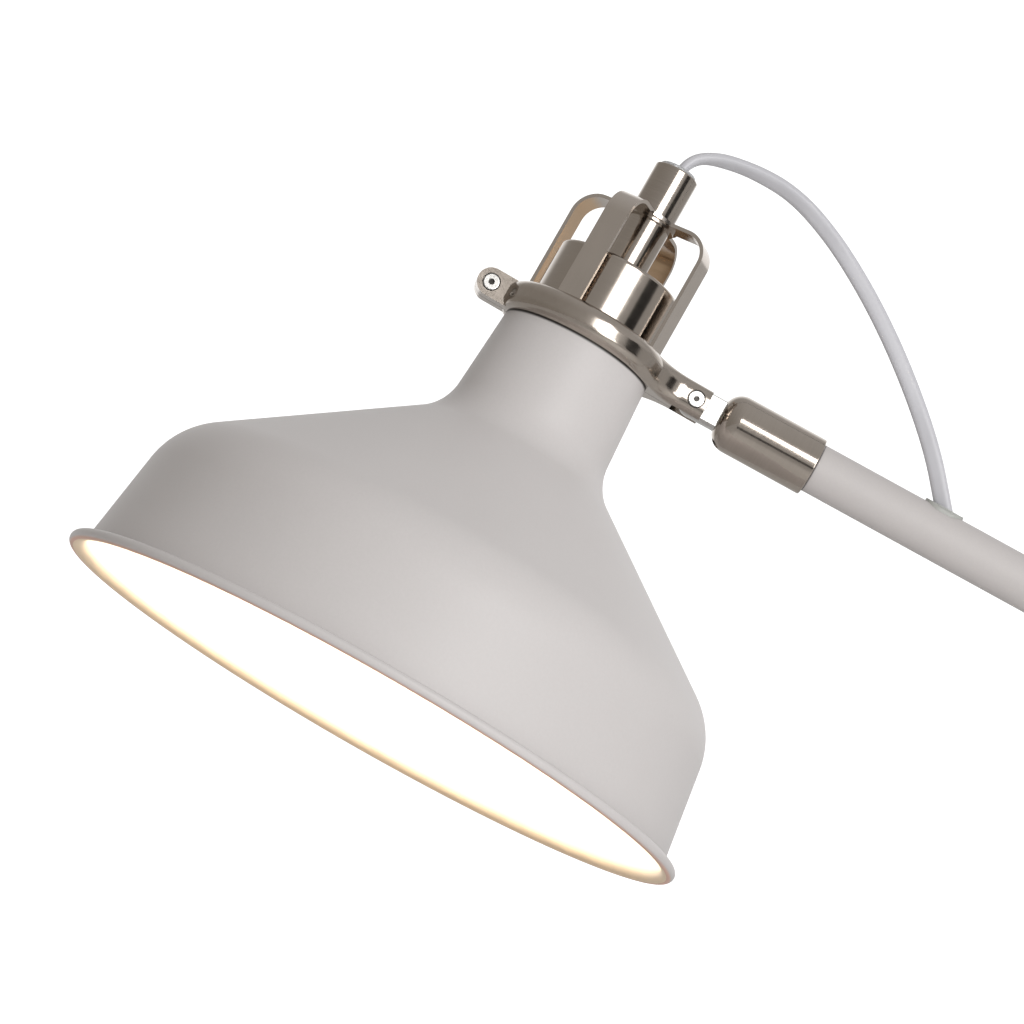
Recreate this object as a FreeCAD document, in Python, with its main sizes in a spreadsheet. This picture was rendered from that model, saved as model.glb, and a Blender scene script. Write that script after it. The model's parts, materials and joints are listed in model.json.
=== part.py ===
"""Adjustable arm floor lamp: a weighted round base, a two-piece pole, a friction elbow, a long
arm and a tilting spun-metal shade held in a clamp ring under an open strap cage.

Units are millimetres.  +Z is up.  The origin is at the centre of the base on the floor.  The arm
leans towards -X, so the shade hangs over the -X side.  Three working frames are used:
  head   origin at the centre of the shade's rim, z along the shade's axis, x towards the arm
  arm    origin at the head hinge, x along the arm towards the elbow
  row    the frame described above, for the base, the pole and the elbow fork
"""
import FreeCAD, Part
import math
import os

import Sketcher

Vector = FreeCAD.Vector
Rotation = FreeCAD.Rotation
Placement = FreeCAD.Placement

SIZES = {
    # pose at rest, degrees
    "head_lean": 29.4,            # shade axis away from vertical
    "arm_slope": 28.2,            # arm below horizontal, seen from the head
    "cage_turn": -26.7,           # cage straps turned about the shade's axis
    # shade
    "rim_radius": 125.0,
    "rim_bead": 2.0,
    "rim_fillet": 3.5,
    "shade_wall": 0.8,
    "foot_radius": 119.8,
    "shoulder_radius": 112.45,
    "shoulder_level": 51.5,
    "shoulder_round": 30.6,
    "throat_radius": 31.94,
    "throat_level": 110.6,
    "throat_round": 20.7,
    "neck_radius": 29.16,
    "neck_level": 154.2,
    "holder_hole": 20.3,
    # clamp ring and its hinge
    "clamp_level": 157.8,
    "clamp_height": 11.6,
    "clamp_outer": 33.3,
    "clamp_bore": 28.9,
    "clamp_seat": 29.35,
    "clamp_split": 0.15,          # half of the gap between the two clamp halves
    "lug_reach": 39.4,
    "lug_radius": 5.4,
    "lug_depth": 5.6,
    "tail_radius": 6.15,
    "tail_half_wide": 7.2,
    "tail_round": 4.2,
    "tail_start": 42.0,
    "tail_end": 51.6,
    "hinge_reach": 46.95,
    "ear_inner": 4.2,
    "slot_start": 40.3,
    "head_radius": 3.3,           # heads of the lug's and the hinge's screws
    "lug_seat": 4.0,              # middle of the clamp to the seat of the lug's screw
    "hinge_seat": 5.4,            # middle of the clamp to the seat of the hinge's screw
    # cage
    "cage_reach": 28.4,
    "cage_top": 210.0,
    "strap_width": 9.5,
    "strap_gauge": 1.4,
    "strap_round": 10.0,
    # lampholder, spindle and bulb
    "spindle_radius": 8.65,
    "spindle_top": 229.6,
    "cup_radius": 24.16,
    "cup_top": 186.0,
    "cup_wall": 1.0,
    "nipple_radius": 5.0,
    "bulb_radius": 30.0,
    "bulb_tip": 60.0,
    "cap_radius": 13.2,
    # tubes and ferrules
    "arm_length": 600.0,          # head hinge to elbow pivot
    "tube_radius": 9.45,
    "tube_wall": 1.2,
    "ferrule_radius": 11.27,
    "ferrule_length": 39.2,
    "ferrule_round": 7.2,
    "ferrule_gap": 10.65,         # pivot to the face of a ferrule
    "tube_stop": 25.5,            # ferrule face to the end of the tube inside it
    "shank_radius": 5.0,
    "shank_reach": 23.0,          # ferrule face to the end of the shank inside it
    "running_gap": 0.05,
    "link_half": 3.8,             # half the thickness of a link across its flats
    "pin_radius": 2.0,
    "grub_reach": 3.4,            # ferrule face to the grub screw's axis
    "grub_radius": 1.8,
    "grub_length": 4.2,
    "groove_depth": 0.85,         # groove round a shank for the grub screw's tip
    "shoulder_depth": 1.2,        # ferrule face to the shoulder of the rod inside it
    "grub_bite": 0.4,             # how far the tip stands in that groove
    "grommet_reach": 100.2,       # head hinge to the cord's entry into the arm
    "grommet_half_long": 7.8,
    "grommet_half_wide": 6.3,
    "grommet_lip": 1.0,
    "grommet_hole_long": 6.4,     # half length of the oval hole in the arm
    "grommet_hole_wide": 4.1,     # half width of that hole
    # elbow, pole and base
    "elbow_level": 1115.0,
    "fork_drop": 22.0,            # elbow pivot to the face of the pole's ferrule
    "fork_radius": 9.5,
    "bolt_radius": 3.0,
    "knob_radius": 10.5,
    "pole_foot": 27.0,
    "pole_joint": 560.0,
    "joint_height": 16.0,
    "base_radius": 140.0,
    "base_height": 19.0,
    "base_round": 4.5,
    "cover_wall": 1.2,
    "pad_thick": 2.5,
    "gland_level": 9.5,
    "gland_bore": 3.4,
    "gland_length": 16.0,
    "cord_radius": 3.0,
}


class Size:
    """A number together with the spreadsheet formula that drives it."""

    def __init__(self, value, formula=None):
        self.value = float(value)
        self.formula = formula or f"({float(value)!r})"

    def __add__(self, other):
        other = as_size(other)
        return Size(self.value + other.value, f"({self.formula} + {other.formula})")

    def __sub__(self, other):
        other = as_size(other)
        return Size(self.value - other.value, f"({self.formula} - {other.formula})")

    def __mul__(self, factor):
        factor = as_size(factor)
        return Size(self.value * factor.value, f"({self.formula} * {factor.formula})")

    def __neg__(self):
        return Size(-self.value, f"(-1 * {self.formula})")

    def __rsub__(self, other):
        return as_size(other) - self

    __radd__ = __add__
    __rmul__ = __mul__


def as_size(thing):
    return thing if isinstance(thing, Size) else Size(thing)


doc = FreeCAD.newDocument("floor_lamp")
sheet = doc.addObject("Spreadsheet::Sheet", "Sizes")
for row, (name, number) in enumerate(SIZES.items(), start=1):
    sheet.set(f"A{row}", name)
    sheet.set(f"B{row}", str(number))
    sheet.setAlias(f"B{row}", name)
doc.recompute()
S = {name: Size(number, f"Sizes.{name}") for name, number in SIZES.items()}
pieces = []


# ---------------------------------------------------------------- frames

def turned(axis, degrees):
    return Rotation(axis, degrees)


def level(height):
    return Placement(Vector(0, 0, height), Rotation())


ROW = Placement()
Y_AXIS = Vector(0, 1, 0)
Z_AXIS = Vector(0, 0, 1)
slope = math.radians(SIZES["arm_slope"])
elbow_point = Vector(0, 0, SIZES["elbow_level"])
hinge_point = elbow_point + Vector(-math.cos(slope), 0, math.sin(slope)) * SIZES["arm_length"]
head_turn = turned(Y_AXIS, SIZES["head_lean"])
hinge_in_head = Vector(SIZES["hinge_reach"], 0, SIZES["clamp_level"])
HEAD = Placement(hinge_point - head_turn.multVec(hinge_in_head), head_turn)
ARM = Placement(hinge_point, turned(Y_AXIS, SIZES["arm_slope"]))
# a ferrule's own frame starts at its closed face and runs towards its open end
UPPER_FERRULE = ARM.multiply(Placement(Vector(SIZES["ferrule_gap"], 0, 0), Rotation()))
LOWER_FERRULE = ARM.multiply(
    Placement(Vector(SIZES["arm_length"] - SIZES["ferrule_gap"], 0, 0), turned(Z_AXIS, 180)))
POLE_FERRULE = Placement(elbow_point - Vector(0, 0, SIZES["fork_drop"]), turned(Y_AXIS, 90))


# ---------------------------------------------------------------- modelling helpers

def new_piece(name, place=ROW):
    piece = doc.addObject("PartDesign::Body", name)
    piece.Label = name
    piece.Placement = place
    pieces.append(piece)
    return piece


def new_sketch(piece, plane, offset=0):
    """A sketch on one of the piece's own origin planes (XY, XZ or YZ), moved along its normal
    by a size or laid anywhere by a placement."""
    sketch = piece.newObject("Sketcher::SketchObject", f"{piece.Name}_{plane}_sketch")
    support = next(item for item in piece.Origin.OriginFeatures if item.Role == f"{plane}_Plane")
    sketch.AttachmentSupport = [(support, "")]
    sketch.MapMode = "FlatFace"
    if isinstance(offset, Placement):
        sketch.AttachmentOffset = offset
        return sketch
    offset = as_size(offset)
    sketch.AttachmentOffset = level(offset.value)
    sketch.setExpression("AttachmentOffset.Base.z", offset.formula)
    return sketch


def hold(sketch, kind, size, *items):
    """Add one driving dimension to a sketch and bind it to the sheet."""
    number = sketch.addConstraint(Sketcher.Constraint(kind, *items, as_size(size).value))
    label = f"size_{number}"
    sketch.renameConstraint(number, label)
    sketch.setExpression(f"Constraints.{label}", as_size(size).formula)


def hold_point(sketch, geometry, end, x, y):
    """Fix a point of the sketch by its two distances from the sketch's origin."""
    for kind, axis, size in (("DistanceX", -2, x), ("DistanceY", -1, y)):
        if as_size(size).value == 0.0:
            sketch.addConstraint(Sketcher.Constraint("PointOnObject", geometry, end, axis))
        else:
            hold(sketch, kind, size, -1, 1, geometry, end)


def outline(sketch, *corners):
    """A closed outline.  A corner is (x, y) or (x, y, round), each a number or a Size."""
    count = len(corners)
    points = [Vector(as_size(c[0]).value, as_size(c[1]).value, 0) for c in corners]
    before, after, arcs = list(points), list(points), {}
    for index, corner in enumerate(corners):
        if len(corner) < 3:
            continue
        here = points[index]
        back = (points[index - 1] - here).normalize()
        ahead = (points[(index + 1) % count] - here).normalize()
        half = back.getAngle(ahead) / 2
        radius = as_size(corner[2]).value
        before[index] = here + back * (radius / math.tan(half))
        after[index] = here + ahead * (radius / math.tan(half))
        centre = here + (back + ahead).normalize() * (radius / math.sin(half))
        turns_left = ahead.cross(back).z > 0
        start, end = (before, after) if turns_left else (after, before)
        angles = [math.atan2(point.y - centre.y, point.x - centre.x)
                  for point in (start[index], end[index])]
        whole = Part.Circle(centre, Vector(0, 0, 1), radius)
        arcs[index] = (Part.ArcOfCircle(whole, *angles), turns_left)
    lines = [sketch.addGeometry(Part.LineSegment(after[i], before[(i + 1) % count]), False)
             for i in range(count)]
    for index, corner in enumerate(corners):
        incoming, outgoing = lines[index - 1], lines[index]
        if index not in arcs:
            sketch.addConstraint(Sketcher.Constraint("Coincident", incoming, 2, outgoing, 1))
            hold_point(sketch, outgoing, 1, corner[0], corner[1])
            continue
        curve, turns_left = arcs[index]
        arc = sketch.addGeometry(curve, False)
        first, last = (1, 2) if turns_left else (2, 1)
        sketch.addConstraint(Sketcher.Constraint("Tangent", incoming, 2, arc, first))
        sketch.addConstraint(Sketcher.Constraint("Tangent", arc, last, outgoing, 1))
        hold(sketch, "Radius", corner[2], arc)
        apex = sketch.addGeometry(Part.Point(points[index]), True)
        sketch.addConstraint(Sketcher.Constraint("PointOnObject", apex, 1, incoming))
        sketch.addConstraint(Sketcher.Constraint("PointOnObject", apex, 1, outgoing))
        hold_point(sketch, apex, 1, corner[0], corner[1])
    return sketch


def rectangle(sketch, x_low, x_high, y_low, y_high):
    return outline(sketch, (x_low, y_low), (x_high, y_low), (x_high, y_high), (x_low, y_high))


def circle(sketch, radius, x=0, y=0):
    centre = Vector(as_size(x).value, as_size(y).value, 0)
    ring = sketch.addGeometry(Part.Circle(centre, Vector(0, 0, 1), as_size(radius).value), False)
    hold(sketch, "Radius", radius, ring)
    hold_point(sketch, ring, 3, x, y)
    return sketch


def hexagon(sketch, across_flats, x=0, y=0):
    """A regular hexagon given by its width across flats."""
    reach = across_flats / math.sqrt(3)
    return outline(sketch, *[(as_size(x) + reach * math.cos(math.radians(60 * k + 30)),
                              as_size(y) + reach * math.sin(math.radians(60 * k + 30)))
                             for k in range(6)])


def finish_feature(feature, adds):
    """Recompute and make sure that the feature really added or removed material."""
    before = feature.BaseFeature.Shape.Volume if feature.BaseFeature else 0.0
    doc.recompute()
    gain = feature.Shape.Volume - before
    if (gain > 1e-6) != adds or abs(gain) < 1e-6:
        raise RuntimeError(f"{feature.Name} changed the volume by {gain:.4f}")
    return feature


def turn_solid(piece, sketch, axis="V_Axis", cuts=False, degrees=360):
    """Revolve a sketch about its vertical or horizontal axis, to add or to cut."""
    kind = "PartDesign::Groove" if cuts else "PartDesign::Revolution"
    feature = piece.newObject(kind, f"{piece.Name}_turned")
    feature.Profile = sketch
    feature.ReferenceAxis = (sketch, [axis])
    feature.Angle = degrees
    sketch.Visibility = False
    return finish_feature(feature, not cuts)


def extrude(piece, sketch, length, cuts=False, both_ways=False, backwards=False):
    """Pad or pocket a sketch along its normal, against it, or half each way."""
    kind = "PartDesign::Pocket" if cuts else "PartDesign::Pad"
    feature = piece.newObject(kind, f"{piece.Name}_{'cut' if cuts else 'pad'}")
    feature.Profile = sketch
    feature.Type = "Length"
    feature.Midplane = both_ways
    feature.Reversed = backwards != cuts
    feature.setExpression("Length", as_size(length).formula)
    sketch.Visibility = False
    return finish_feature(feature, not cuts)


def repeat(piece, feature, axis, count, span=360):
    """Repeat a feature round one of the piece's own axes, over a whole turn or a shorter span."""
    pattern = piece.newObject("PartDesign::PolarPattern", f"{piece.Name}_repeat")
    pattern.Originals = [feature]
    line = next(item for item in piece.Origin.OriginFeatures if item.Role == f"{axis}_Axis")
    pattern.Axis = (line, [""])
    pattern.Angle = span
    pattern.Occurrences = count
    piece.Tip = pattern
    doc.recompute()
    return pattern


def soften(piece, radius, chooser, chamfer=False):
    """Fillet or chamfer the edges of the piece's last feature that the chooser accepts."""
    base = piece.Tip
    names = [f"Edge{n}" for n, edge in enumerate(base.Shape.Edges, start=1) if chooser(edge)]
    if not names:
        raise RuntimeError(f"no edge of {piece.Name} to soften")
    kind = "Chamfer" if chamfer else "Fillet"
    feature = piece.newObject(f"PartDesign::{kind}", f"{piece.Name}_{kind.lower()}")
    feature.Base = (base, names)
    feature.setExpression("Size" if chamfer else "Radius", as_size(radius).formula)
    doc.recompute()
    return feature


def round_edge_at(radius, height, tolerance=0.02):
    """A chooser for circular edges about the z axis with this radius at this height."""
    def chooser(edge):
        curve = edge.Curve
        return (isinstance(curve, Part.Circle) and abs(curve.Radius - radius) < tolerance
                and abs(curve.Center.z - height) < tolerance)
    return chooser


def ring(name, place, inner, outer, low, high, bevel=0.0):
    """A plain turned ring about z, with an optional bevel on its outer edges."""
    piece = new_piece(name, place)
    sketch = rectangle(new_sketch(piece, "XZ"), inner, outer, low, high)
    turn_solid(piece, sketch)
    if bevel:
        edges = [as_size(low).value, as_size(high).value]
        soften(piece, bevel, lambda edge: any(
            round_edge_at(as_size(outer).value, each)(edge) for each in edges), chamfer=True)
    return piece


# ---------------------------------------------------------------- shade

def inset(before, corner, after, wall):
    """The inner corner of a wall of even thickness, for an outer path that climbs anticlockwise."""
    points = [Vector(as_size(p[0]).value, as_size(p[1]).value, 0) for p in (before, corner, after)]
    arriving = (points[1] - points[0]).normalize()
    leaving = (points[2] - points[1]).normalize()
    normals = Vector(-arriving.y, arriving.x, 0) + Vector(-leaving.y, leaving.x, 0)
    shift = normals * (2 / normals.Length ** 2)
    bends_out = arriving.x * leaving.y - arriving.y * leaving.x > 0
    moved = [corner[0] + wall * shift.x, corner[1] + wall * shift.y]
    if len(corner) > 2:
        moved.append(corner[2] - wall if bends_out else corner[2] + wall)
    return tuple(moved)


def make_shade():
    """Spun sheet shade: neck, throat, cone and skirt in one wall, with a rolled bead at the rim
    and a flat top plate that carries the lampholder."""
    piece = new_piece("shade", HEAD)
    wall = S["shade_wall"]
    bead_middle = S["rim_radius"] - S["rim_bead"]
    flange_top = wall + 0.03 - S["rim_bead"]
    outer = [
        (bead_middle, flange_top),
        (S["foot_radius"], flange_top, S["rim_fillet"]),
        (S["shoulder_radius"], S["shoulder_level"], S["shoulder_round"]),
        (S["throat_radius"], S["throat_level"], S["throat_round"]),
        (S["neck_radius"], S["neck_level"]),
        (S["holder_hole"], S["neck_level"])]
    inner = [inset(*outer[n - 1:n + 2], wall) for n in range(1, len(outer) - 1)]
    inner.append((S["holder_hole"], S["neck_level"] - wall))
    inner.insert(0, (bead_middle, flange_top - wall))
    turn_solid(piece, outline(new_sketch(piece, "XZ"), *outer, *reversed(inner)))
    bead = circle(new_sketch(piece, "XZ"), S["rim_bead"], bead_middle, 0)
    turn_solid(piece, bead)
    return piece


# ---------------------------------------------------------------- clamp ring and head hinge

# sections of the web that runs the ring out into its tail, as (distance from the shade's axis,
# half width, half height, corner radius)
CLAMP_FLARE = [(19.0, 27.0, 5.8, 4.0), (26.0, 19.0, 5.85, 4.0), (32.0, 12.0, 5.95, 4.1),
               (37.0, 8.4, 6.1, 4.2)]


def block_section(sketch, z_mid, half_wide, half_tall, corner):
    """A rounded rectangle about a level of the shade's axis."""
    wide, tall = as_size(half_wide), as_size(half_tall)
    return outline(sketch, (-wide, z_mid - tall, corner), (wide, z_mid - tall, corner),
                   (wide, z_mid + tall, corner), (-wide, z_mid + tall, corner))


def make_clamp_half(name, side):
    """Half of the ring that grips the shade's neck, with a lug on one side and an ear of the
    hinge on the other.  side is -1 for the half facing -Y and +1 for the half facing +Y."""
    piece = new_piece(name, HEAD)
    z_mid = S["clamp_level"]
    half_high = S["clamp_height"] * 0.5
    section = outline(
        new_sketch(piece, "XZ"),
        (S["clamp_bore"] - 1, z_mid - half_high), (S["clamp_outer"], z_mid - half_high, 4.2),
        (S["clamp_outer"], z_mid + half_high, 4.2), (S["clamp_bore"] - 1, z_mid + half_high))
    turn_solid(piece, section)
    tail_end_face = (S["tail_half_wide"], S["tail_radius"], S["tail_round"])
    tail = block_section(new_sketch(piece, "YZ", S["tail_start"]), z_mid, *tail_end_face)
    extrude(piece, tail, S["tail_end"] - S["tail_start"])
    flare = piece.newObject("PartDesign::AdditiveLoft", f"{name}_flare")
    sections = [block_section(new_sketch(piece, "YZ", reach), z_mid, *size)
                for reach, *size in CLAMP_FLARE]
    sections.append(block_section(new_sketch(piece, "YZ", S["tail_start"]), z_mid, *tail_end_face))
    flare.Profile = sections[0]
    flare.Sections = sections[1:]
    finish_feature(flare, True)
    lug = outline(
        new_sketch(piece, "XZ", -S["lug_depth"]),
        (-S["lug_reach"] - S["lug_radius"], z_mid - S["lug_radius"], S["lug_radius"] - 0.05),
        (-28, z_mid - S["lug_radius"]), (-28, z_mid + S["lug_radius"]),
        (-S["lug_reach"] - S["lug_radius"], z_mid + S["lug_radius"], S["lug_radius"] - 0.05))
    extrude(piece, lug, S["lug_depth"] * 2)
    bore = outline(
        new_sketch(piece, "XZ"),
        (0, 140), (S["clamp_seat"], 140), (S["clamp_seat"], S["neck_level"] + 0.05),
        (S["clamp_bore"], S["neck_level"] + 0.05), (S["clamp_bore"], 176), (0, 176))
    turn_solid(piece, bore, cuts=True)
    slot = rectangle(new_sketch(piece, "XY", 140), S["slot_start"], S["tail_end"] + 5,
                     -S["ear_inner"], S["ear_inner"])
    extrude(piece, slot, 40, cuts=True)
    for reach, radius in ((-S["lug_reach"], 1.65), (S["hinge_reach"], S["pin_radius"])):
        hole = circle(new_sketch(piece, "XZ", -20), radius, reach, z_mid)
        extrude(piece, hole, 40, cuts=True)
    seat_radius = S["head_radius"] + 0.1
    for reach, floor in ((-S["lug_reach"], S["lug_seat"]), (S["hinge_reach"], S["hinge_seat"])):
        seat = circle(new_sketch(piece, "XZ", floor), seat_radius, reach, z_mid)
        extrude(piece, seat, 20, cuts=True)
        seat = circle(new_sketch(piece, "XZ", -floor), seat_radius, reach, z_mid)
        extrude(piece, seat, 20, cuts=True, backwards=True)
    half_space = new_sketch(piece, "XZ", S["clamp_split"] * -side)
    rectangle(half_space, -60, 70, 140, 176)
    extrude(piece, half_space, 60, cuts=True, backwards=side < 0)
    return piece


def facing_front(frame, x, z):
    """A frame at (x, z) of another frame whose own z axis points at -Y, for screws and nuts."""
    return frame.multiply(Placement(Vector(x, 0, z), turned(Vector(1, 0, 0), 90)))


def make_screw(name, place, shank, head, seat, crown, tip, socket):
    """A socket-head screw along z: head from seat to crown, shank down to the tip."""
    piece = new_piece(name, place)
    turn_solid(piece, outline(
        new_sketch(piece, "XZ"),
        (0, tip), (shank, tip), (shank, seat), (head, seat), (head, crown, 0.6), (0, crown)))
    extrude(piece, hexagon(new_sketch(piece, "XY", crown), socket), 1.2, cuts=True, backwards=True)
    return piece


def make_nut(name, place, across_flats, bore, low, high):
    """A hexagon nut along z with a plain bore."""
    piece = new_piece(name, place)
    extrude(piece, hexagon(new_sketch(piece, "XY", low), across_flats), as_size(high) - low)
    extrude(piece, circle(new_sketch(piece, "XY", low), bore), as_size(high) - low, cuts=True)
    return piece


def make_washer_pair(name, place, inner, outer, near, far):
    """Two equal washers on one axis, mirrored about the middle of the joint."""
    piece = new_piece(name, place)
    piece.AllowCompound = True
    sketch = new_sketch(piece, "XZ")
    rectangle(sketch, inner, outer, near, far)
    rectangle(sketch, inner, outer, -as_size(far), -as_size(near))
    turn_solid(piece, sketch)
    return piece


def make_clamp_hardware():
    lug = facing_front(HEAD, -SIZES["lug_reach"], SIZES["clamp_level"])
    hinge = facing_front(HEAD, SIZES["hinge_reach"], SIZES["clamp_level"])
    head, seat = S["head_radius"], S["hinge_seat"]
    make_screw("clamp_screw", lug, 1.6, head, S["lug_seat"], 5.9, -5.9, 2.2)
    make_nut("clamp_nut", lug, 5.5, 1.62, -6.3, -S["lug_seat"])
    pin = S["pin_radius"] - S["running_gap"]
    make_screw("hinge_screw", hinge, pin, head, seat, seat + 1.9, -7.0, 2.2)
    cap = new_piece("hinge_nut", hinge)
    turn_solid(cap, outline(
        new_sketch(cap, "XZ"),
        (pin + 0.02, -seat), (pin + 0.02, -7.1), (0, -7.1), (0, -8.2), (head, -8.2, 1.6),
        (head, -seat)))
    make_washer_pair("hinge_washers", hinge, pin + 0.1, 5.2,
                     S["link_half"] + S["running_gap"], S["ear_inner"])


# ---------------------------------------------------------------- strap cage

def make_cage():
    """Four flat legs bent down from one cross-shaped blank, standing on the shade's top plate."""
    piece = new_piece("cage", HEAD.multiply(
        Placement(Vector(), turned(Z_AXIS, SIZES["cage_turn"]))))
    reach, top, gauge = S["cage_reach"], S["cage_top"], S["strap_gauge"]
    foot = S["neck_level"]
    inner_round = S["strap_round"] - gauge
    strap = outline(
        new_sketch(piece, "XZ"),
        (-reach, foot), (gauge - reach, foot), (gauge - reach, top - gauge, inner_round),
        (reach - gauge, top - gauge, inner_round), (reach - gauge, foot), (reach, foot),
        (reach, top, S["strap_round"]), (-reach, top, S["strap_round"]))
    arch = extrude(piece, strap, S["strap_width"], both_ways=True)
    pattern = repeat(piece, arch, "Z", 2, span=90)
    if pattern.Shape.Volume < arch.Shape.Volume * 1.5:
        raise RuntimeError("the cage's second arch is missing")
    hub = circle(new_sketch(piece, "XY", top), 11.4)
    extrude(piece, hub, gauge, backwards=True)
    hole = circle(new_sketch(piece, "XY", top), S["spindle_radius"] + S["running_gap"])
    extrude(piece, hole, 4, cuts=True, backwards=True)
    rings = new_piece("cage_rings", HEAD)
    rings.AllowCompound = True
    sketch = new_sketch(rings, "XZ")
    inner = S["spindle_radius"] + 0.02
    rectangle(sketch, inner, 9.7, top, top + 0.7)
    rectangle(sketch, inner, 10.2, top - gauge - 1.2, top - gauge)
    turn_solid(rings, sketch)


# ---------------------------------------------------------------- lampholder, spindle and bulb

def make_lampholder():
    plate_top, plate_under = S["neck_level"], S["neck_level"] - S["shade_wall"]
    cup = new_piece("lampholder_cup", HEAD)
    wall = S["cup_wall"]
    thread = S["nipple_radius"] + 0.02
    turn_solid(cup, outline(
        new_sketch(cup, "XZ"),
        (S["cup_radius"] - wall, plate_top), (S["cup_radius"], plate_top),
        (S["cup_radius"], S["cup_top"], 1.4), (thread, S["cup_top"]),
        (thread, S["cup_top"] - wall), (S["cup_radius"] - wall, S["cup_top"] - wall, 0.6)))
    spindle = new_piece("spindle_tube", HEAD)
    turn_solid(spindle, outline(
        new_sketch(spindle, "XZ"),
        (thread, S["cup_top"]), (S["spindle_radius"], S["cup_top"]),
        (S["spindle_radius"], S["spindle_top"], 0.7), (6.6, S["spindle_top"]),
        (6.6, S["cup_top"] + 12), (thread, S["cup_top"] + 12)))
    ring("spindle_nipple", HEAD, 3.6, S["nipple_radius"], S["cup_top"] - 8, S["cup_top"] + 11)
    make_nut("nipple_nut", HEAD, 14.0, thread, S["cup_top"] - wall - 4, S["cup_top"] - wall)
    bush = new_piece("cord_bush", HEAD)
    lip = S["spindle_top"] + 1.4
    turn_solid(bush, outline(
        new_sketch(bush, "XZ"),
        (2.4, S["spindle_top"] - 8), (6.55, S["spindle_top"] - 8), (6.55, S["spindle_top"]),
        (7.3, S["spindle_top"]), (7.3, lip, 0.9), (2.4, lip)))
    holder = new_piece("lampholder_body", HEAD)
    skirt = S["holder_hole"] - 0.5
    turn_solid(holder, outline(
        new_sketch(holder, "XZ"),
        (16.6, 128), (skirt, 128), (skirt, plate_top + 0.02), (22.6, plate_top + 0.02),
        (22.6, plate_top + 4), (20.4, 173, 2.5), (6, 176), (6, 172), (14.3, 170), (14.3, 137)))
    ring("holder_ring", HEAD, skirt + 0.02, 25.5, plate_under - 5, plate_under, bevel=0.6)
    ring("screw_shell", HEAD, 13.6, 14.28, 141, 168)
    ring("centre_contact", HEAD, 0, 5.0, 168.7, 170.0)


def make_bulb():
    """A screw-cap lamp with a hollow pear-shaped globe."""
    cap = new_piece("bulb_cap", HEAD)
    collar = 141.0
    turn_solid(cap, outline(
        new_sketch(cap, "XZ"),
        (0, collar), (S["cap_radius"], collar), (S["cap_radius"], 163, 0.8), (9.0, 165.6),
        (4.8, 166.6), (4.8, 168.4, 0.8), (0, 168.4)))
    globe = new_piece("bulb_globe", HEAD)
    glass = as_size(0.9)
    equator = S["bulb_radius"]
    outer = [
        (0, S["bulb_tip"]),
        (equator, S["bulb_tip"], equator - 0.1),
        (equator, S["bulb_tip"] + 46, 30),
        (14.4, 128, 24),
        (S["cap_radius"], collar)]
    inner = [inset(*outer[n - 1:n + 2], glass) for n in range(1, len(outer) - 1)]
    inner.append((S["cap_radius"] - glass, collar))
    inner.insert(0, (0, S["bulb_tip"] + glass))
    turn_solid(globe, outline(new_sketch(globe, "XZ"), *outer, *reversed(inner)))


# ---------------------------------------------------------------- arm, ferrules and links

def make_ferrule(name, frame):
    """A turned cap with a domed closed end, bored for a shank there and for a tube at the mouth.
    x runs from the closed face to the mouth; a grub screw's hole enters from below."""
    piece = new_piece(name, frame)
    length, radius = S["ferrule_length"], S["ferrule_radius"]
    turn_solid(piece, outline(
        new_sketch(piece, "XZ"),
        (0, 0), (length, 0), (length, radius, 0.4), (0, radius, S["ferrule_round"])), "H_Axis")
    shank = S["shank_radius"] + S["running_gap"]
    tube, rod = S["tube_radius"] + 0.02, S["tail_radius"] + 0.1
    recess = S["shoulder_depth"] + 0.2
    turn_solid(piece, outline(
        new_sketch(piece, "XZ"),
        (-1, 0), (length + 1, 0), (length + 1, tube + 0.5), (length - 1.2, tube + 0.5),
        (length - 1.2, tube), (S["tube_stop"], tube), (S["tube_stop"], shank), (recess, shank),
        (recess, rod), (-1, rod)), "H_Axis", cuts=True)
    hole = circle(new_sketch(piece, "XY"), S["grub_radius"], S["grub_reach"], 0)
    extrude(piece, hole, 14, cuts=True, backwards=True)
    return piece


def make_grub_screws(name, *frames):
    """Headless socket screws, one in each of these ferrules, in one piece group."""
    piece = new_piece(name)
    piece.AllowCompound = True
    tip_level = SIZES["grub_bite"] - SIZES["shank_radius"]
    for frame in frames:
        tip = frame.multiply(Placement(Vector(SIZES["grub_reach"], 0, tip_level), Rotation()))
        shank = circle(new_sketch(piece, "XY", tip), S["grub_radius"] - 0.02)
        extrude(piece, shank, S["grub_length"], backwards=True)
        crown = tip.multiply(level(-SIZES["grub_length"]))
        extrude(piece, hexagon(new_sketch(piece, "XY", crown), 2.0), 1.6, cuts=True)
    return piece


def make_link(name, frame, pivot_radius):
    """A round rod with two flats and a cross hole at the pivot, and a shank for a ferrule."""
    piece = new_piece(name, frame)
    rod, shank, gap = S["tail_radius"], S["shank_radius"], S["ferrule_gap"]
    groove, shoulder = shank - S["groove_depth"], gap + S["shoulder_depth"]
    groove_end = gap + S["grub_reach"] + S["grub_radius"] + 0.3
    turn_solid(piece, outline(
        new_sketch(piece, "XZ"),
        (-rod, 0), (gap + S["shank_reach"], 0), (gap + S["shank_reach"], shank, 0.6),
        (groove_end, shank), (groove_end, groove), (shoulder, groove), (shoulder, rod),
        (-rod, rod, rod - 0.05)), "H_Axis")
    flats = new_sketch(piece, "XY", -10)
    flat_end = gap + 0.3
    rectangle(flats, -rod - 1, flat_end, S["link_half"], rod + 2)
    rectangle(flats, -rod - 1, flat_end, -rod - 2, -S["link_half"])
    extrude(piece, flats, 20, cuts=True)
    extrude(piece, circle(new_sketch(piece, "XZ", -10), pivot_radius), 20, cuts=True)
    return piece


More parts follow.
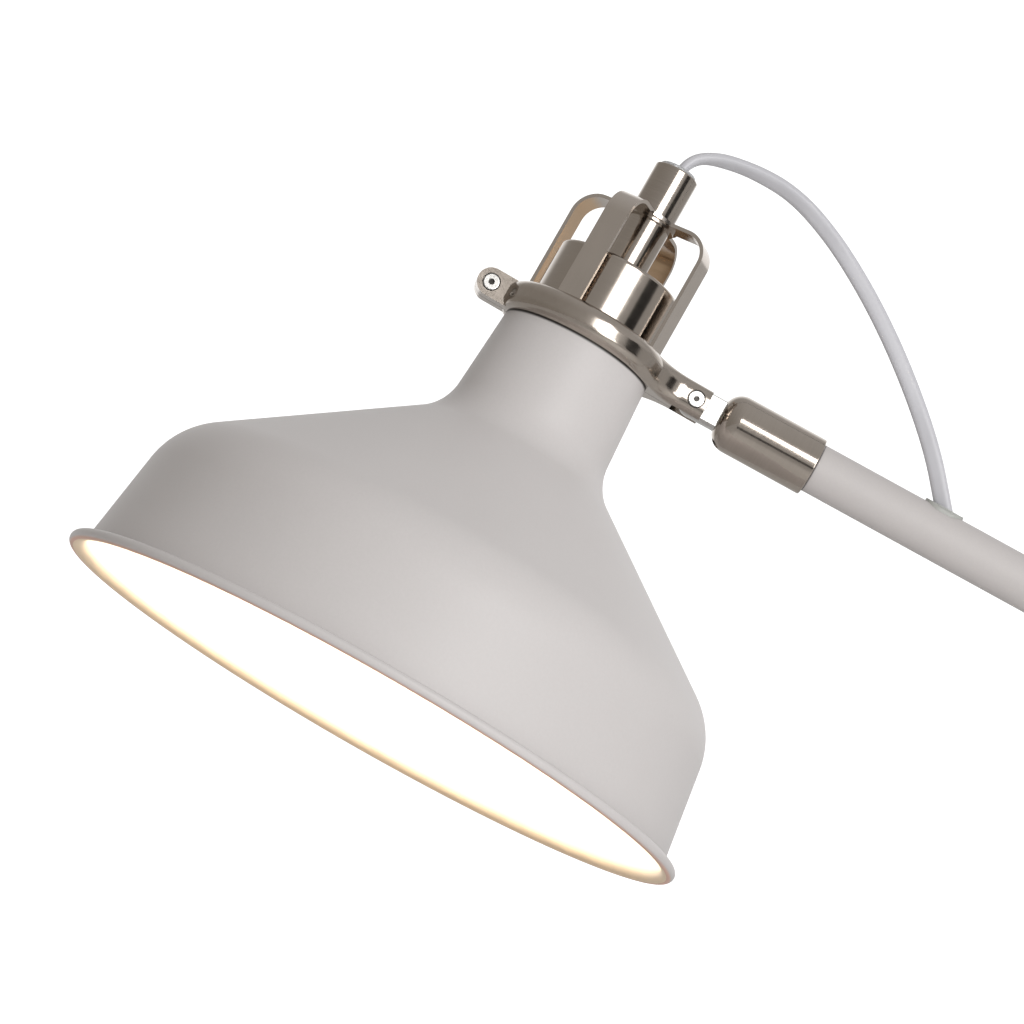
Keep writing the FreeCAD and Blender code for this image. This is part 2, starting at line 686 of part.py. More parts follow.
def make_tube(name, frame, start, end):
    """A plain tube along x."""
    piece = new_piece(name, frame)
    radius = S["tube_radius"]
    turn_solid(piece, rectangle(new_sketch(piece, "XZ"), start, end, radius - S["tube_wall"],
                                radius), "H_Axis")
    return piece


def oval(sketch, half_long, half_wide):
    """A rounded slot shape lying along x."""
    corner = as_size(half_wide) - 0.02
    return outline(sketch, (-as_size(half_long), -as_size(half_wide), corner),
                   (half_long, -as_size(half_wide), corner), (half_long, half_wide, corner),
                   (-as_size(half_long), half_wide, corner))


def make_arm():
    inset_end = S["ferrule_gap"] + S["tube_stop"] + S["running_gap"]
    tube = make_tube("arm_tube", ARM, inset_end, S["arm_length"] - inset_end)
    hole = new_sketch(tube, "XY", Placement(Vector(SIZES["grommet_reach"], 0, 0), Rotation()))
    extrude(tube, oval(hole, S["grommet_hole_long"], S["grommet_hole_wide"]), 15, cuts=True)
    make_ferrule("arm_upper_ferrule", UPPER_FERRULE)
    make_ferrule("arm_lower_ferrule", LOWER_FERRULE)
    make_grub_screws("arm_grub_screws", UPPER_FERRULE, LOWER_FERRULE)
    make_link("head_link", ARM, S["pin_radius"])
    elbow_frame = ARM.multiply(Placement(Vector(SIZES["arm_length"], 0, 0), turned(Z_AXIS, 180)))
    make_link("elbow_link", elbow_frame, S["bolt_radius"])


def make_grommet():
    """The oval bush on top of the arm that the cord goes into: a thin lip that follows the tube,
    a plug in the tube's hole and a bore in line with the cord."""
    place = ARM.multiply(Placement(Vector(SIZES["grommet_reach"], 0, 0), Rotation()))
    piece = new_piece("arm_grommet", place)
    radius = S["tube_radius"]
    lip_top = radius + S["grommet_lip"]
    lip = oval(new_sketch(piece, "XY", radius - 4), S["grommet_half_long"], S["grommet_half_wide"])
    extrude(piece, lip, 8)
    above = rectangle(new_sketch(piece, "XZ"), -9, 9, lip_top, radius + 8)
    turn_solid(piece, above, "H_Axis", cuts=True)
    under = rectangle(new_sketch(piece, "XZ"), -9, 9, 0, radius + 0.02)
    turn_solid(piece, under, "H_Axis", cuts=True)
    plug = oval(new_sketch(piece, "XY", radius - 2), S["grommet_hole_long"] - 0.1,
                S["grommet_hole_wide"] - 0.1)
    extrude(piece, plug, 2.4)
    entry = circle(new_sketch(piece, "XY", place.inverse().multiply(CORD_END)),
                   S["cord_radius"] + 0.15)
    extrude(piece, entry, 20, cuts=True, both_ways=True)


# ---------------------------------------------------------------- head cord

# the cord's route in the head frame, as (x, z): out of the spindle, over and down into the arm
CORD_ROUTE = [
    (0.9, 231.05), (0.9, 237.2), (8.6, 243.4), (24.0, 246.7), (42.0, 246.2), (62.0, 239.0),
    (82.0, 228.6), (100.5, 216.2), (118.5, 201.2), (133.6, 185.8), (145.6, 171.2)]


def cord_end_frame():
    """A frame on the cord's last point whose z axis points back along the cord."""
    (x_before, z_before), (x_last, z_last) = CORD_ROUTE[-2:]
    back = Vector(x_before - x_last, 0, z_before - z_last)
    return HEAD.multiply(Placement(Vector(x_last, 0, z_last), Rotation(Z_AXIS, back)))


CORD_END = cord_end_frame()


def make_cord():
    """The flexible cord as a round tube: straight runs joined by tangent arcs."""
    points = [HEAD.multVec(Vector(x, 0, z)) for x, z in CORD_ROUTE]
    edges, radii, start = [], [], points[0]
    for before, corner, after in zip(points, points[1:], points[2:]):
        back, ahead = before - corner, after - corner
        half_turn = (math.pi - back.getAngle(ahead)) / 2
        trim = 0.45 * min(back.Length, ahead.Length)
        radius = trim / math.tan(half_turn)
        first = corner + back.normalize() * trim
        last = corner + ahead.normalize() * trim
        inward = (back + ahead).normalize()
        middle = corner + inward * (radius / math.cos(half_turn) - radius)
        edges.append(Part.LineSegment(start, first).toShape())
        edges.append(Part.Arc(first, middle, last).toShape())
        radii.append(radius)
        start = last
    edges.append(Part.LineSegment(start, points[-1]).toShape())
    path = Part.Wire(edges)
    section = Part.Wire(Part.makeCircle(SIZES["cord_radius"], points[0], points[1] - points[0]))
    solid = path.makePipeShell([section], True, True)
    piece = doc.addObject("Part::Feature", "head_cord")
    piece.Label = "head_cord"
    piece.Shape = solid
    pieces.append(piece)
    expected = math.pi * SIZES["cord_radius"] ** 2 * path.Length
    print("cord radii:", ", ".join(f"{radius:.1f}" for radius in radii))
    print(f"cord length {path.Length:.1f}, volume {solid.Volume:.1f}, "
          f"section times length {expected:.1f}")
    return piece


# ---------------------------------------------------------------- elbow

def make_elbow():
    pivot = Placement(elbow_point, Rotation())
    fork = new_piece("elbow_fork", pivot)
    drop, shank, rod, wide = S["fork_drop"], S["shank_radius"], S["tail_radius"], S["fork_radius"]
    groove, shoulder = shank - S["groove_depth"], -drop - S["shoulder_depth"]
    groove_low = -drop - S["grub_reach"] - S["grub_radius"] - 0.3
    turn_solid(fork, outline(
        new_sketch(fork, "XZ"),
        (0, -drop - S["shank_reach"]), (shank, -drop - S["shank_reach"], 0.6),
        (shank, groove_low), (groove, groove_low), (groove, shoulder),
        (rod, shoulder), (rod, -drop + 3.0, 2.0),
        (wide, -drop + 8.0, 3.0), (wide, wide, wide - 0.1), (0, wide)))
    slot_half = S["link_half"] + 0.4
    slot = rectangle(new_sketch(fork, "YZ"), -slot_half, slot_half, -9.2, wide + 2)
    extrude(fork, slot, 40, cuts=True, both_ways=True)
    extrude(fork, circle(new_sketch(fork, "XZ", -20), S["bolt_radius"]), 40, cuts=True)
    for side in (1, -1):
        face = rectangle(new_sketch(fork, "XZ", 7.4 * side), -12, 12, -7.0, 12)
        extrude(fork, face, 6, cuts=True, backwards=side < 0)
    axis = facing_front(pivot, 0, 0)
    bolt = S["bolt_radius"] - S["running_gap"]
    make_screw("elbow_bolt", axis, bolt, 5.4, 7.4, 10.2, -16, 4.0)
    make_washer_pair("elbow_washers", axis, bolt + 0.1, 6.0, S["link_half"] + S["running_gap"],
                     slot_half)
    ring("knob_washer", axis, bolt + 0.1, 6.4, -8.3, -7.4)
    knob = new_piece("elbow_knob", axis)
    turn_solid(knob, outline(
        new_sketch(knob, "XZ"),
        (S["bolt_radius"], -8.35), (S["bolt_radius"], -18), (0, -18), (0, -22.4),
        (S["knob_radius"] - 1.5, -22.4, 1.2), (S["knob_radius"], -21.4, 0.4),
        (S["knob_radius"], -12.0, 0.8), (6.2, -11.0, 0.8), (6.2, -8.35)))
    flute = circle(new_sketch(knob, "XY", -23), 1.1, S["knob_radius"] + 0.45, 0)
    groove = extrude(knob, flute, 13, cuts=True)
    before = knob.Shape.Volume
    repeat(knob, groove, "Z", 24)
    if knob.Shape.Volume > before - 1:
        raise RuntimeError("the knob's flutes are missing")


# ---------------------------------------------------------------- pole and base

def make_pole():
    make_ferrule("pole_ferrule", POLE_FERRULE)
    make_grub_screws("pole_grub_screw", POLE_FERRULE)
    upright = Placement(Vector(), turned(Y_AXIS, -90))
    joint_top = S["pole_joint"] + S["joint_height"]
    top = S["elbow_level"] - S["fork_drop"] - S["tube_stop"] - S["running_gap"]
    make_tube("pole_lower_tube", upright, S["pole_foot"], S["pole_joint"])
    make_tube("pole_upper_tube", upright, joint_top, top)
    coupling = new_piece("pole_coupling")
    core = S["tube_radius"] - S["tube_wall"] - 0.02
    collar = S["tube_radius"] + 1.1
    turn_solid(coupling, outline(
        new_sketch(coupling, "XZ"),
        (5, S["pole_joint"] - 28), (core, S["pole_joint"] - 28, 0.8), (core, S["pole_joint"]),
        (collar, S["pole_joint"], 0.8), (collar, joint_top, 0.8), (core, joint_top),
        (core, joint_top + 28, 0.8), (5, joint_top + 28)))


def make_base():
    top, edge, wall = S["base_height"], S["base_radius"], S["cover_wall"]
    thread = 6.0
    cover = new_piece("base_cover")
    turn_solid(cover, outline(
        new_sketch(cover, "XZ"),
        (edge - wall, 1.2), (edge, 1.2), (edge, top, S["base_round"]), (thread + 0.1, top),
        (thread + 0.1, top - wall), (edge - wall, top - wall, S["base_round"] - wall)))
    side_hole = circle(new_sketch(cover, "YZ", edge - 10), 5.55, 0, S["gland_level"])
    extrude(cover, side_hole, 20, cuts=True)
    weight = new_piece("base_weight")
    turn_solid(weight, outline(
        new_sketch(weight, "XZ"),
        (thread + 0.2, 10.5), (24, 10.5), (24, S["pad_thick"]),
        (edge - 3, S["pad_thick"], 1.0), (edge - 3, top - wall - 0.02, 5.0),
        (thread + 0.2, top - wall - 0.02)))
    channel = rectangle(new_sketch(weight, "XY"), 20, edge, -6.4, 6.4)
    extrude(weight, channel, 15.6, cuts=True)
    ring("base_pad", ROW, 0, edge - 6, 0, S["pad_thick"])
    ring("base_washer", ROW, thread + 0.1, 17.0, 8.9, 10.5)
    make_nut("base_nut", ROW, 19.0, thread + 0.02, 3.2, 8.9)
    ring("base_nipple", ROW, 4.6, thread, 3.0, S["pole_foot"] - 0.1)
    socket = new_piece("pole_socket")
    tube = S["tube_radius"] + 0.03
    turn_solid(socket, outline(
        new_sketch(socket, "XZ"),
        (thread + 0.02, top), (19.0, top), (19.0, top + 3.2, 1.2), (13.0, top + 6.0, 5.0),
        (12.2, top + 34, 1.0), (tube, top + 34), (tube, S["pole_foot"]),
        (thread + 0.02, S["pole_foot"])))
    gland = new_piece("cable_gland", Placement(Vector(SIZES["base_radius"], 0,
                                                      SIZES["gland_level"]), Rotation()))
    inside = S["gland_length"] - 3.0
    turn_solid(gland, outline(
        new_sketch(gland, "XZ"),
        (-inside, S["gland_bore"]), (3.0, S["gland_bore"]), (3.0, 6.8, 1.2), (0, 6.8),
        (0, 5.5), (-inside, 5.5)), "H_Axis")


# ---------------------------------------------------------------- build, check and write

def check_and_write():
    for item in doc.Objects:
        if {"Invalid", "Error"} & set(item.State):
            raise RuntimeError(f"{item.Name} is {item.State}")
    os.makedirs("parts", exist_ok=True)
    for piece in pieces:
        shape = piece.Shape
        if shape.isNull() or not shape.isValid() or not shape.Solids:
            raise RuntimeError(f"{piece.Label} has no valid solid")
        shape.exportStep(f"parts/{piece.Label}.step")
        print(f"{piece.Label:20s} {len(shape.Solids)} solid(s) {shape.Volume:12.1f} mm3")


make_shade()
make_clamp_half("clamp_front", -1)
make_clamp_half("clamp_back", 1)
make_clamp_hardware()
make_cage()
make_lampholder()
make_bulb()
make_arm()
make_grommet()
make_cord()
make_elbow()
make_pole()
make_base()
doc.recompute()
check_and_write()
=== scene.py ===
"""Adjustable arm floor lamp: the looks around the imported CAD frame.

Everything is in metres, in the frame of the CAD: +Z up along the pole, the arm leans
towards -X and the hinges turn about Y.
"""
import json
import math

import bmesh
import bpy
from mathutils import Matrix, Vector


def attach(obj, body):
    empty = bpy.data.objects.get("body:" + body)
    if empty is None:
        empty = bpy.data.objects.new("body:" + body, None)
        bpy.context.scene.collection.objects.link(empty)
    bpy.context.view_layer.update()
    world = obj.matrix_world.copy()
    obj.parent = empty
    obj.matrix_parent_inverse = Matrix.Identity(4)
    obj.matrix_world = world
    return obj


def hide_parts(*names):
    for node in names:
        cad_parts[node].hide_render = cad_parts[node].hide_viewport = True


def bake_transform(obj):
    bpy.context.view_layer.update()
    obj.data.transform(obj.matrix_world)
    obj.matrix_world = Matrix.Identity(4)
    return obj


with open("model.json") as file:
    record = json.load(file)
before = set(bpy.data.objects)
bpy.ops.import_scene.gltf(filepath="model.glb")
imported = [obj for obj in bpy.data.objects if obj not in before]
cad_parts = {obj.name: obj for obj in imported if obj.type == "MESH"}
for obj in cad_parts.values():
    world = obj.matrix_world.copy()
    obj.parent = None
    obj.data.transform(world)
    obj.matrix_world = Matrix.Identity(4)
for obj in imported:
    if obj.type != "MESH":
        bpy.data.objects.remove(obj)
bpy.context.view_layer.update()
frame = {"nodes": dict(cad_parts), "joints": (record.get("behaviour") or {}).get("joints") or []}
joints = {joint["name"]: joint for joint in frame["joints"]}

# ---------------------------------------------------------------- frames
HEAD_TILT = math.radians(29.4)
ARM_SLOPE = math.radians(28.2)
# The head's hinge and the clamp ring's lower edge, from the rim's centre.
HINGE_IN_HEAD = Vector((0.04695, 0, 0.1578))
CLAMP_LOW = 0.1520

hinge = Vector(joints["head_tilt"]["pos_m"])
head_turn = Matrix.Rotation(HEAD_TILT, 4, "Y")
HEAD = Matrix.Translation(hinge) @ head_turn @ Matrix.Translation(-HINGE_IN_HEAD)
rim_centre = HEAD.translation.copy()


def in_head(x_mm, z_mm, y_mm=0.0):
    """A point given in the shade's own frame: the rim's centre is the origin, z its axis."""
    return HEAD @ Vector((x_mm / 1000, y_mm / 1000, z_mm / 1000))


def put(name, data):
    """A new object in the scene that holds this data."""
    holder = bpy.data.objects.new(name, data)
    bpy.context.collection.objects.link(holder)
    return holder


# ---------------------------------------------------------------- camera
CAMERA_FROM_RIM = Vector((-0.1027, -1.4903, -0.1360))
CAMERA_YAW = math.radians(5.897)
CAMERA_PITCH = math.radians(7.927)

camera = put("camera", bpy.data.cameras.new("camera"))
camera.data.sensor_width = 36.0
camera.data.lens = 145.86
camera.data.clip_end = 60.0
camera.location = rim_centre + CAMERA_FROM_RIM
camera.rotation_euler = (math.pi / 2 + CAMERA_PITCH, 0, -CAMERA_YAW)
bpy.context.scene.camera = camera


# ---------------------------------------------------------------- shader building
MIX_FACTOR, MIX_A, MIX_B, MIX_RESULT = 0, 6, 7, 2
NOISE_SPAN = (0.6, 1.4)


def add(tree, kind, inputs=None, **props):
    """One shader node; inputs may be values or the sockets of other nodes."""
    node = tree.nodes.new(kind)
    for key, value in props.items():
        setattr(node, key, value)
    for key, value in (inputs or {}).items():
        if isinstance(value, bpy.types.NodeSocket):
            tree.links.new(value, node.inputs[key])
        else:
            node.inputs[key].default_value = value
    return node


def mix_colour(tree, factor, a, b):
    """Colour a where the factor is 0, colour b where it is 1."""
    inputs = {MIX_FACTOR: factor, MIX_A: a, MIX_B: b}
    return add(tree, "ShaderNodeMix", inputs, data_type="RGBA").outputs[MIX_RESULT]


def calc(tree, operation, *values):
    """One step of arithmetic on values or sockets."""
    return add(tree, "ShaderNodeMath", dict(enumerate(values)), operation=operation).outputs[0]


def ramp(tree, value, low, high, from_low=0.0, from_high=1.0, shape="LINEAR"):
    """Goes from low to high while the value goes from from_low to from_high."""
    return add(tree, "ShaderNodeMapRange", {
        "Value": value, "From Min": from_low, "From Max": from_high,
        "To Min": low, "To Max": high}, interpolation_type=shape).outputs["Result"]


def turned_back(tree, vector, turn):
    """A vector turned about Y into the frame of a part that leans by that turn."""
    return add(tree, "ShaderNodeMapping", {
        "Vector": vector, "Rotation": (0, -turn, 0)}).outputs["Vector"]


def local_coords(tree, turn, scale, origin=(0, 0, 0)):
    """Object coordinates turned about Y into a part's own frame, then scaled."""
    coords = add(tree, "ShaderNodeTexCoord").outputs["Object"]
    moved = add(tree, "ShaderNodeVectorMath",
                {0: coords, 1: tuple(-v for v in origin)}, operation="ADD").outputs[0]
    turned = turned_back(tree, moved, turn)
    return add(tree, "ShaderNodeVectorMath", {0: turned, 1: scale}, operation="MULTIPLY").outputs[0]


def noise(tree, vector, detail=3.0, roughness=0.55):
    """Noise between 0 and 1 with one feature per unit of the vector."""
    return add(tree, "ShaderNodeTexNoise", {
        "Vector": vector, "Scale": 1.0, "Detail": detail, "Roughness": roughness}).outputs["Fac"]


def scaled(colour, factor):
    """A colour made darker or lighter, with its alpha."""
    return tuple(min(1.0, c * factor) for c in colour) + (1.0,)


def surface(name, colour, rough=(0.3, 0.4), tone=0.06, grain=(900, 900, 900), turn=0.0,
            blotch=60.0, bump=0.2, depth=2e-5, detail=3.0, sockets=None):
    """A procedural finish: grain drives tone, roughness and relief, blotches vary them slowly."""
    material = bpy.data.materials.new(name)
    material.use_nodes = True
    tree = material.node_tree
    shader = tree.nodes["Principled BSDF"]
    fine = noise(tree, local_coords(tree, turn, grain), detail)
    slow = noise(tree, local_coords(tree, turn, (blotch,) * 3), 2.0)
    level = ramp(tree, calc(tree, "ADD", fine, slow), 0, 1, *NOISE_SPAN)
    base = mix_colour(tree, level, scaled(colour, 1 - tone), scaled(colour, 1 + tone))
    tree.links.new(base, shader.inputs["Base Color"])
    tree.links.new(ramp(tree, level, *rough), shader.inputs["Roughness"])
    relief = add(tree, "ShaderNodeBump", {"Height": fine, "Strength": bump, "Distance": depth})
    tree.links.new(relief.outputs["Normal"], shader.inputs["Normal"])
    for key, value in (sockets or {}).items():
        shader.inputs[key].default_value = value
    return material


def tint(material, factor, colour):
    """Lays a colour over the material's own, as far as the factor says."""
    tree = material.node_tree
    socket = tree.nodes["Principled BSDF"].inputs["Base Color"]
    base = socket.links[0].from_socket
    tree.links.new(mix_colour(tree, factor, base, colour), socket)


# ---------------------------------------------------------------- materials
METAL = {"Metallic": 1.0}
AROUND_Z = (70, 70, 2600)
AROUND_X = (2600, 70, 70)
ALONG_Z = (3200, 3200, 60)
FINE_X = (90, 90, 1800)
EVEN = (900, 900, 900)
COAT = (1100, 1100, 1100)
NICKEL = (0.45, 0.40, 0.353)
STRAP = (0.58, 0.525, 0.475)
BRIGHT = (0.66, 0.65, 0.63)
PAINT = (0.625, 0.60, 0.595)
TUBE_PAINT = (0.575, 0.547, 0.54)
# The next five colours are painted light and shade: a painted shadow line, painted shade in screw
# sockets, painted warm lamplight under and inside the rim, and a painted warm reflection on the
# strap.
SHADOW_LINE_DARK = (0.03, 0.027, 0.025, 1)
SOCKET_SHADE_DARK = (0.05, 0.047, 0.044, 1)
UNDER_RIM_PAINTED_LAMPLIGHT = (0.74, 0.46, 0.36, 1)
INSIDE_PAINTED_WARM_LIGHT = (0.86, 0.65, 0.42, 1)
STRAP_PAINTED_REFLECTION = (0.66, 0.48, 0.32, 1)

nickel_head = surface("nickel_turned_head", NICKEL, (0.11, 0.17), 0.07, AROUND_Z, HEAD_TILT,
                      bump=0.12, sockets=METAL)
nickel_arm = surface("nickel_turned_arm", NICKEL, (0.10, 0.16), 0.07, AROUND_X, ARM_SLOPE,
                     bump=0.12, sockets=METAL)
nickel_pole = surface("nickel_turned_pole", NICKEL, (0.10, 0.17), 0.07, AROUND_Z, 0.0,
                      bump=0.12, sockets=METAL)
nickel_cast = surface("nickel_polished_casting", NICKEL, (0.14, 0.21), 0.06, (420, 420, 420),
                      HEAD_TILT, bump=0.10, depth=4e-5, sockets=METAL)
bright_head = surface("bright_steel_head", BRIGHT, (0.2, 0.32), 0.05, EVEN, HEAD_TILT,
                      bump=0.15, sockets=METAL)
bright_arm = surface("bright_steel_arm", BRIGHT, (0.2, 0.32), 0.05, FINE_X, ARM_SLOPE,
                     bump=0.15, sockets=METAL)
plain_steel = surface("plain_steel", (0.42, 0.42, 0.43), (0.3, 0.45), 0.08, EVEN, bump=0.2,
                      sockets=METAL)
cast_iron = surface("cast_iron", (0.055, 0.055, 0.058), (0.7, 0.9), 0.25, (380, 380, 380),
                    bump=0.7, depth=2e-4, sockets={"Metallic": 0.6})
pad_rubber = surface("pad_rubber", (0.035, 0.035, 0.036), (0.75, 0.95), 0.3, (1300, 1300, 1300),
                     bump=0.6, depth=1e-4)
cord_pvc = surface("cord_sheath", (0.585, 0.585, 0.62), (0.30, 0.40), 0.02, (300, 300, 300),
                   blotch=45, bump=0.015)
clear_plastic = surface("clear_plastic", (0.85, 0.86, 0.88), (0.10, 0.2), 0.03, (400, 400, 400),
                        bump=0.05, sockets={"Transmission Weight": 0.55})
grommet_plastic = surface("grommet_plastic", (0.45, 0.46, 0.435), (0.45, 0.55), 0.04,
                          (800, 800, 800), bump=0.15)
holder_plastic = surface("holder_plastic", (0.74, 0.72, 0.68), (0.38, 0.5), 0.03,
                         (1200, 1200, 1200), bump=0.2)
nylon = surface("nylon", (0.70, 0.70, 0.67), (0.4, 0.55), 0.04, (1000, 1000, 1000), bump=0.15,
                sockets={"Subsurface Weight": 0.1, "Subsurface Scale": 0.001})
brass = surface("brass", (0.72, 0.53, 0.24), (0.2, 0.34), 0.08, AROUND_Z, HEAD_TILT,
                bump=0.12, sockets=METAL)
bulb_metal = surface("bulb_cap_metal", (0.70, 0.70, 0.69), (0.22, 0.36), 0.06, AROUND_Z,
                     HEAD_TILT, bump=0.12, sockets=METAL)
bulb_glass = surface("opal_glass_lit", (0.95, 0.93, 0.88), (0.25, 0.35), 0.02, (150, 150, 150),
                     HEAD_TILT, bump=0.02, sockets={
                         "Emission Color": (1.0, 0.86, 0.66, 1.0), "Emission Strength": 26.0})

# Where the painted shadow line beside the ferrule starts to fade and where it ends, past its edge.
FERRULE_SHADOW = (0.0002, 0.0008)
# The same painted shadow under the clamp ring, below its lower edge: where it starts and where it is
# full.
CLAMP_SHADOW = (0.0010, 0.0003)
# Heights over the rim's level between which the rim's painted warm lamplight fades, outside and
# inside.
UNDER_RIM_LIGHT_FADE = (-0.0019, -0.0013)
NEAR_RIM_LIGHT_FADE = (-0.0019, 0.0035)
# A screw's painted socket shade fades over the first width, the painted shadow line round its head
# over the others.
SOCKET_SHADE_FADE = 0.0003
HEAD_SHADOW_LINE = (0.0005, 0.0001)
# A painted warm reflection on the strap where it faces the axis this much, and this far behind the
# axis.
FACES_AXIS = (-0.7, -0.3)
FAR_SIDE = (0.002, 0.004)


def tube_paint(name):
    """The powder coat of the tubes and the base."""
    return surface(name, TUBE_PAINT, (0.52, 0.62), 0.025, COAT, blotch=35, bump=0.22, depth=3e-5,
                   detail=2.0)


def arm_paint():
    """The tube's powder coat, with a painted shadow line where the ferrule's edge meets it."""
    material = tube_paint("powder_coat_tube")
    tree = material.node_tree
    along = Vector((math.cos(ARM_SLOPE), 0, -math.sin(ARM_SLOPE)))
    ferrule = frame["nodes"]["arm_upper_ferrule"]
    edge = max((vertex.co - hinge).dot(along) for vertex in ferrule.data.vertices)
    place = local_coords(tree, ARM_SLOPE, (1, 1, 1), tuple(hinge))
    distance = add(tree, "ShaderNodeSeparateXYZ", {0: place}).outputs["X"]
    shadow_line = ramp(tree, distance, 1, 0, edge + FERRULE_SHADOW[0], edge + FERRULE_SHADOW[1])
    on_arm = calc(tree, "GREATER_THAN", distance, 0.0)
    tint(material, calc(tree, "MULTIPLY", shadow_line, on_arm), SHADOW_LINE_DARK)
    return material


def height_over_rim(tree):
    """Metres above the rim, along the shade's axis."""
    place = local_coords(tree, HEAD_TILT, (1, 1, 1), tuple(rim_centre))
    return add(tree, "ShaderNodeSeparateXYZ", {0: place}).outputs["Z"]


def outside_paint():
    """Greige powder coat, with a painted shadow under the clamp ring's edge and painted warm
    lamplight under the rim.
    """
    material = surface("powder_coat_shade", PAINT, (0.46, 0.56), 0.022, (1000, 1000, 1000),
                       HEAD_TILT, blotch=22, bump=0.25, depth=3e-5, detail=2.0)
    tree = material.node_tree
    height = height_over_rim(tree)
    tint(material, ramp(tree, height, 1, 0, *UNDER_RIM_LIGHT_FADE), UNDER_RIM_PAINTED_LAMPLIGHT)
    shadow_line = ramp(tree, height, 0, 1, CLAMP_LOW - CLAMP_SHADOW[0], CLAMP_LOW - CLAMP_SHADOW[1])
    tint(material, shadow_line, SHADOW_LINE_DARK)
    return material


def inside_paint():
    """Gloss white, with painted warm lamplight that turns cream towards the rolled rim."""
    material = surface("gloss_white_inside", (0.83, 0.82, 0.79), (0.32, 0.38), 0.02,
                       (30, 30, 30), HEAD_TILT, bump=0.02)
    tree = material.node_tree
    tint(material, ramp(tree, height_over_rim(tree), 1, 0, *NEAR_RIM_LIGHT_FADE), INSIDE_PAINTED_WARM_LIGHT)
    return material


def centre_of(name):
    """The middle of a CAD node's box."""
    node = frame["nodes"][name]
    places = [node.matrix_world @ vertex.co for vertex in node.data.vertices]
    return Vector([(min(p[k] for p in places) + max(p[k] for p in places)) / 2 for k in range(3)])


def screw_steel(node_name, socket_radius, head_radius):
    """Bright turned steel with painted shade in the driver socket and a painted shadow line round
    the screw's head.
    """
    material = surface(node_name + "_steel", BRIGHT, (0.2, 0.32), 0.05, EVEN, HEAD_TILT, bump=0.15,
                       sockets=METAL)
    tree = material.node_tree
    place = local_coords(tree, 0.0, (1, 0, 1), tuple(centre_of(node_name)))
    away = add(tree, "ShaderNodeVectorMath", {0: place}, operation="LENGTH").outputs["Value"]
    socket = ramp(tree, away, 1, 0, socket_radius, socket_radius + SOCKET_SHADE_FADE)
    line = ramp(tree, away, 0, 1, head_radius - HEAD_SHADOW_LINE[0], head_radius - HEAD_SHADOW_LINE[1])
    tint(material, calc(tree, "MAXIMUM", socket, line), SOCKET_SHADE_DARK)
    return material


def strap_nickel():
    """Brushed nickel, with a painted warm reflection on the inner faces of the two far legs."""
    material = surface("nickel_brushed_strap", STRAP, (0.16, 0.24), 0.05, ALONG_Z, HEAD_TILT,
                       bump=0.05, sockets=METAL)
    tree = material.node_tree
    place = local_coords(tree, HEAD_TILT, (1, 1, 0), tuple(rim_centre))
    radial = add(tree, "ShaderNodeVectorMath", {0: place}, operation="NORMALIZE").outputs[0]
    normal = turned_back(tree, add(tree, "ShaderNodeTexCoord").outputs["Normal"], HEAD_TILT)
    facing = add(tree, "ShaderNodeVectorMath", {0: radial, 1: normal},
                 operation="DOT_PRODUCT").outputs["Value"]
    depth = add(tree, "ShaderNodeSeparateXYZ", {0: place}).outputs["Y"]
    inward = ramp(tree, facing, 1, 0, *FACES_AXIS)
    far_side = ramp(tree, depth, 0, 1, *FAR_SIDE)
    tint(material, calc(tree, "MULTIPLY", inward, far_side), STRAP_PAINTED_REFLECTION)
    return material


FINISHES = (
    (arm_paint(), ("arm_tube",)),
    (tube_paint("powder_coat_pole"), ("pole_lower_tube", "pole_upper_tube", "base_cover")),
    (cast_iron, ("base_weight",)),
    (pad_rubber, ("base_pad",)),
    (clear_plastic, ("cord_bush",)),
    (grommet_plastic, ("arm_grommet",)),
    (holder_plastic, ("lampholder_body", "holder_ring", "cable_gland")),
    (nylon, ("hinge_washers", "elbow_washers", "knob_washer")),
    (brass, ("screw_shell", "centre_contact")),
    (bulb_metal, ("bulb_cap",)),
    (bulb_glass, ("bulb_globe",)),
    (screw_steel("clamp_screw", 0.0010, 0.0033), ("clamp_screw",)),
    (screw_steel("hinge_screw", 0.0009, 0.0033), ("hinge_screw",)),
    (bright_head, ("clamp_nut", "hinge_nut")),
    (bright_arm, ("head_link", "elbow_link", "elbow_bolt")),
    (plain_steel, ("arm_grub_screws", "pole_grub_screw", "nipple_nut", "spindle_nipple",
                   "base_nipple", "base_nut", "base_washer")),
    (strap_nickel(), ("cage",)),
    (nickel_cast, ("clamp_front", "clamp_back", "elbow_knob")),
    (nickel_head, ("lampholder_cup", "spindle_tube", "cage_rings")),
    (nickel_arm, ("arm_upper_ferrule", "arm_lower_ferrule")),
    (nickel_pole, ("pole_ferrule", "pole_coupling", "pole_socket", "elbow_fork")),
)
for material, node_names in FINISHES:
    for node_name in node_names:
        slots = frame["nodes"][node_name].data.materials
        slots.clear()
        slots.append(material)

# ---------------------------------------------------------------- shade
# Millimetres, from the rim's centre. The wall is two skins with a hair between them.
RIM_RADIUS, RIM_BEAD, SHADE_WALL = 125.0, 2.0, 0.8
COAT_DEPTH, LINING_DEPTH = 0.39, 0.41
BEAD_MIDDLE = RIM_RADIUS - RIM_BEAD
FLANGE_OVERLAP = 0.03
FLANGE_TOP = SHADE_WALL + FLANGE_OVERLAP - RIM_BEAD
NECK_LEVEL, HOLDER_HOLE = 154.2, 20.3
SHARP_ANGLE = math.radians(35)
# Corners from the rim up to the neck's top: radius, height, rounding.
OUTER_PROFILE = (
    (BEAD_MIDDLE, FLANGE_TOP, 0), (119.8, FLANGE_TOP, 3.5), (112.45, 51.5, 30.6),
    (31.94, 110.6, 20.7), (29.16, NECK_LEVEL, 0),
)


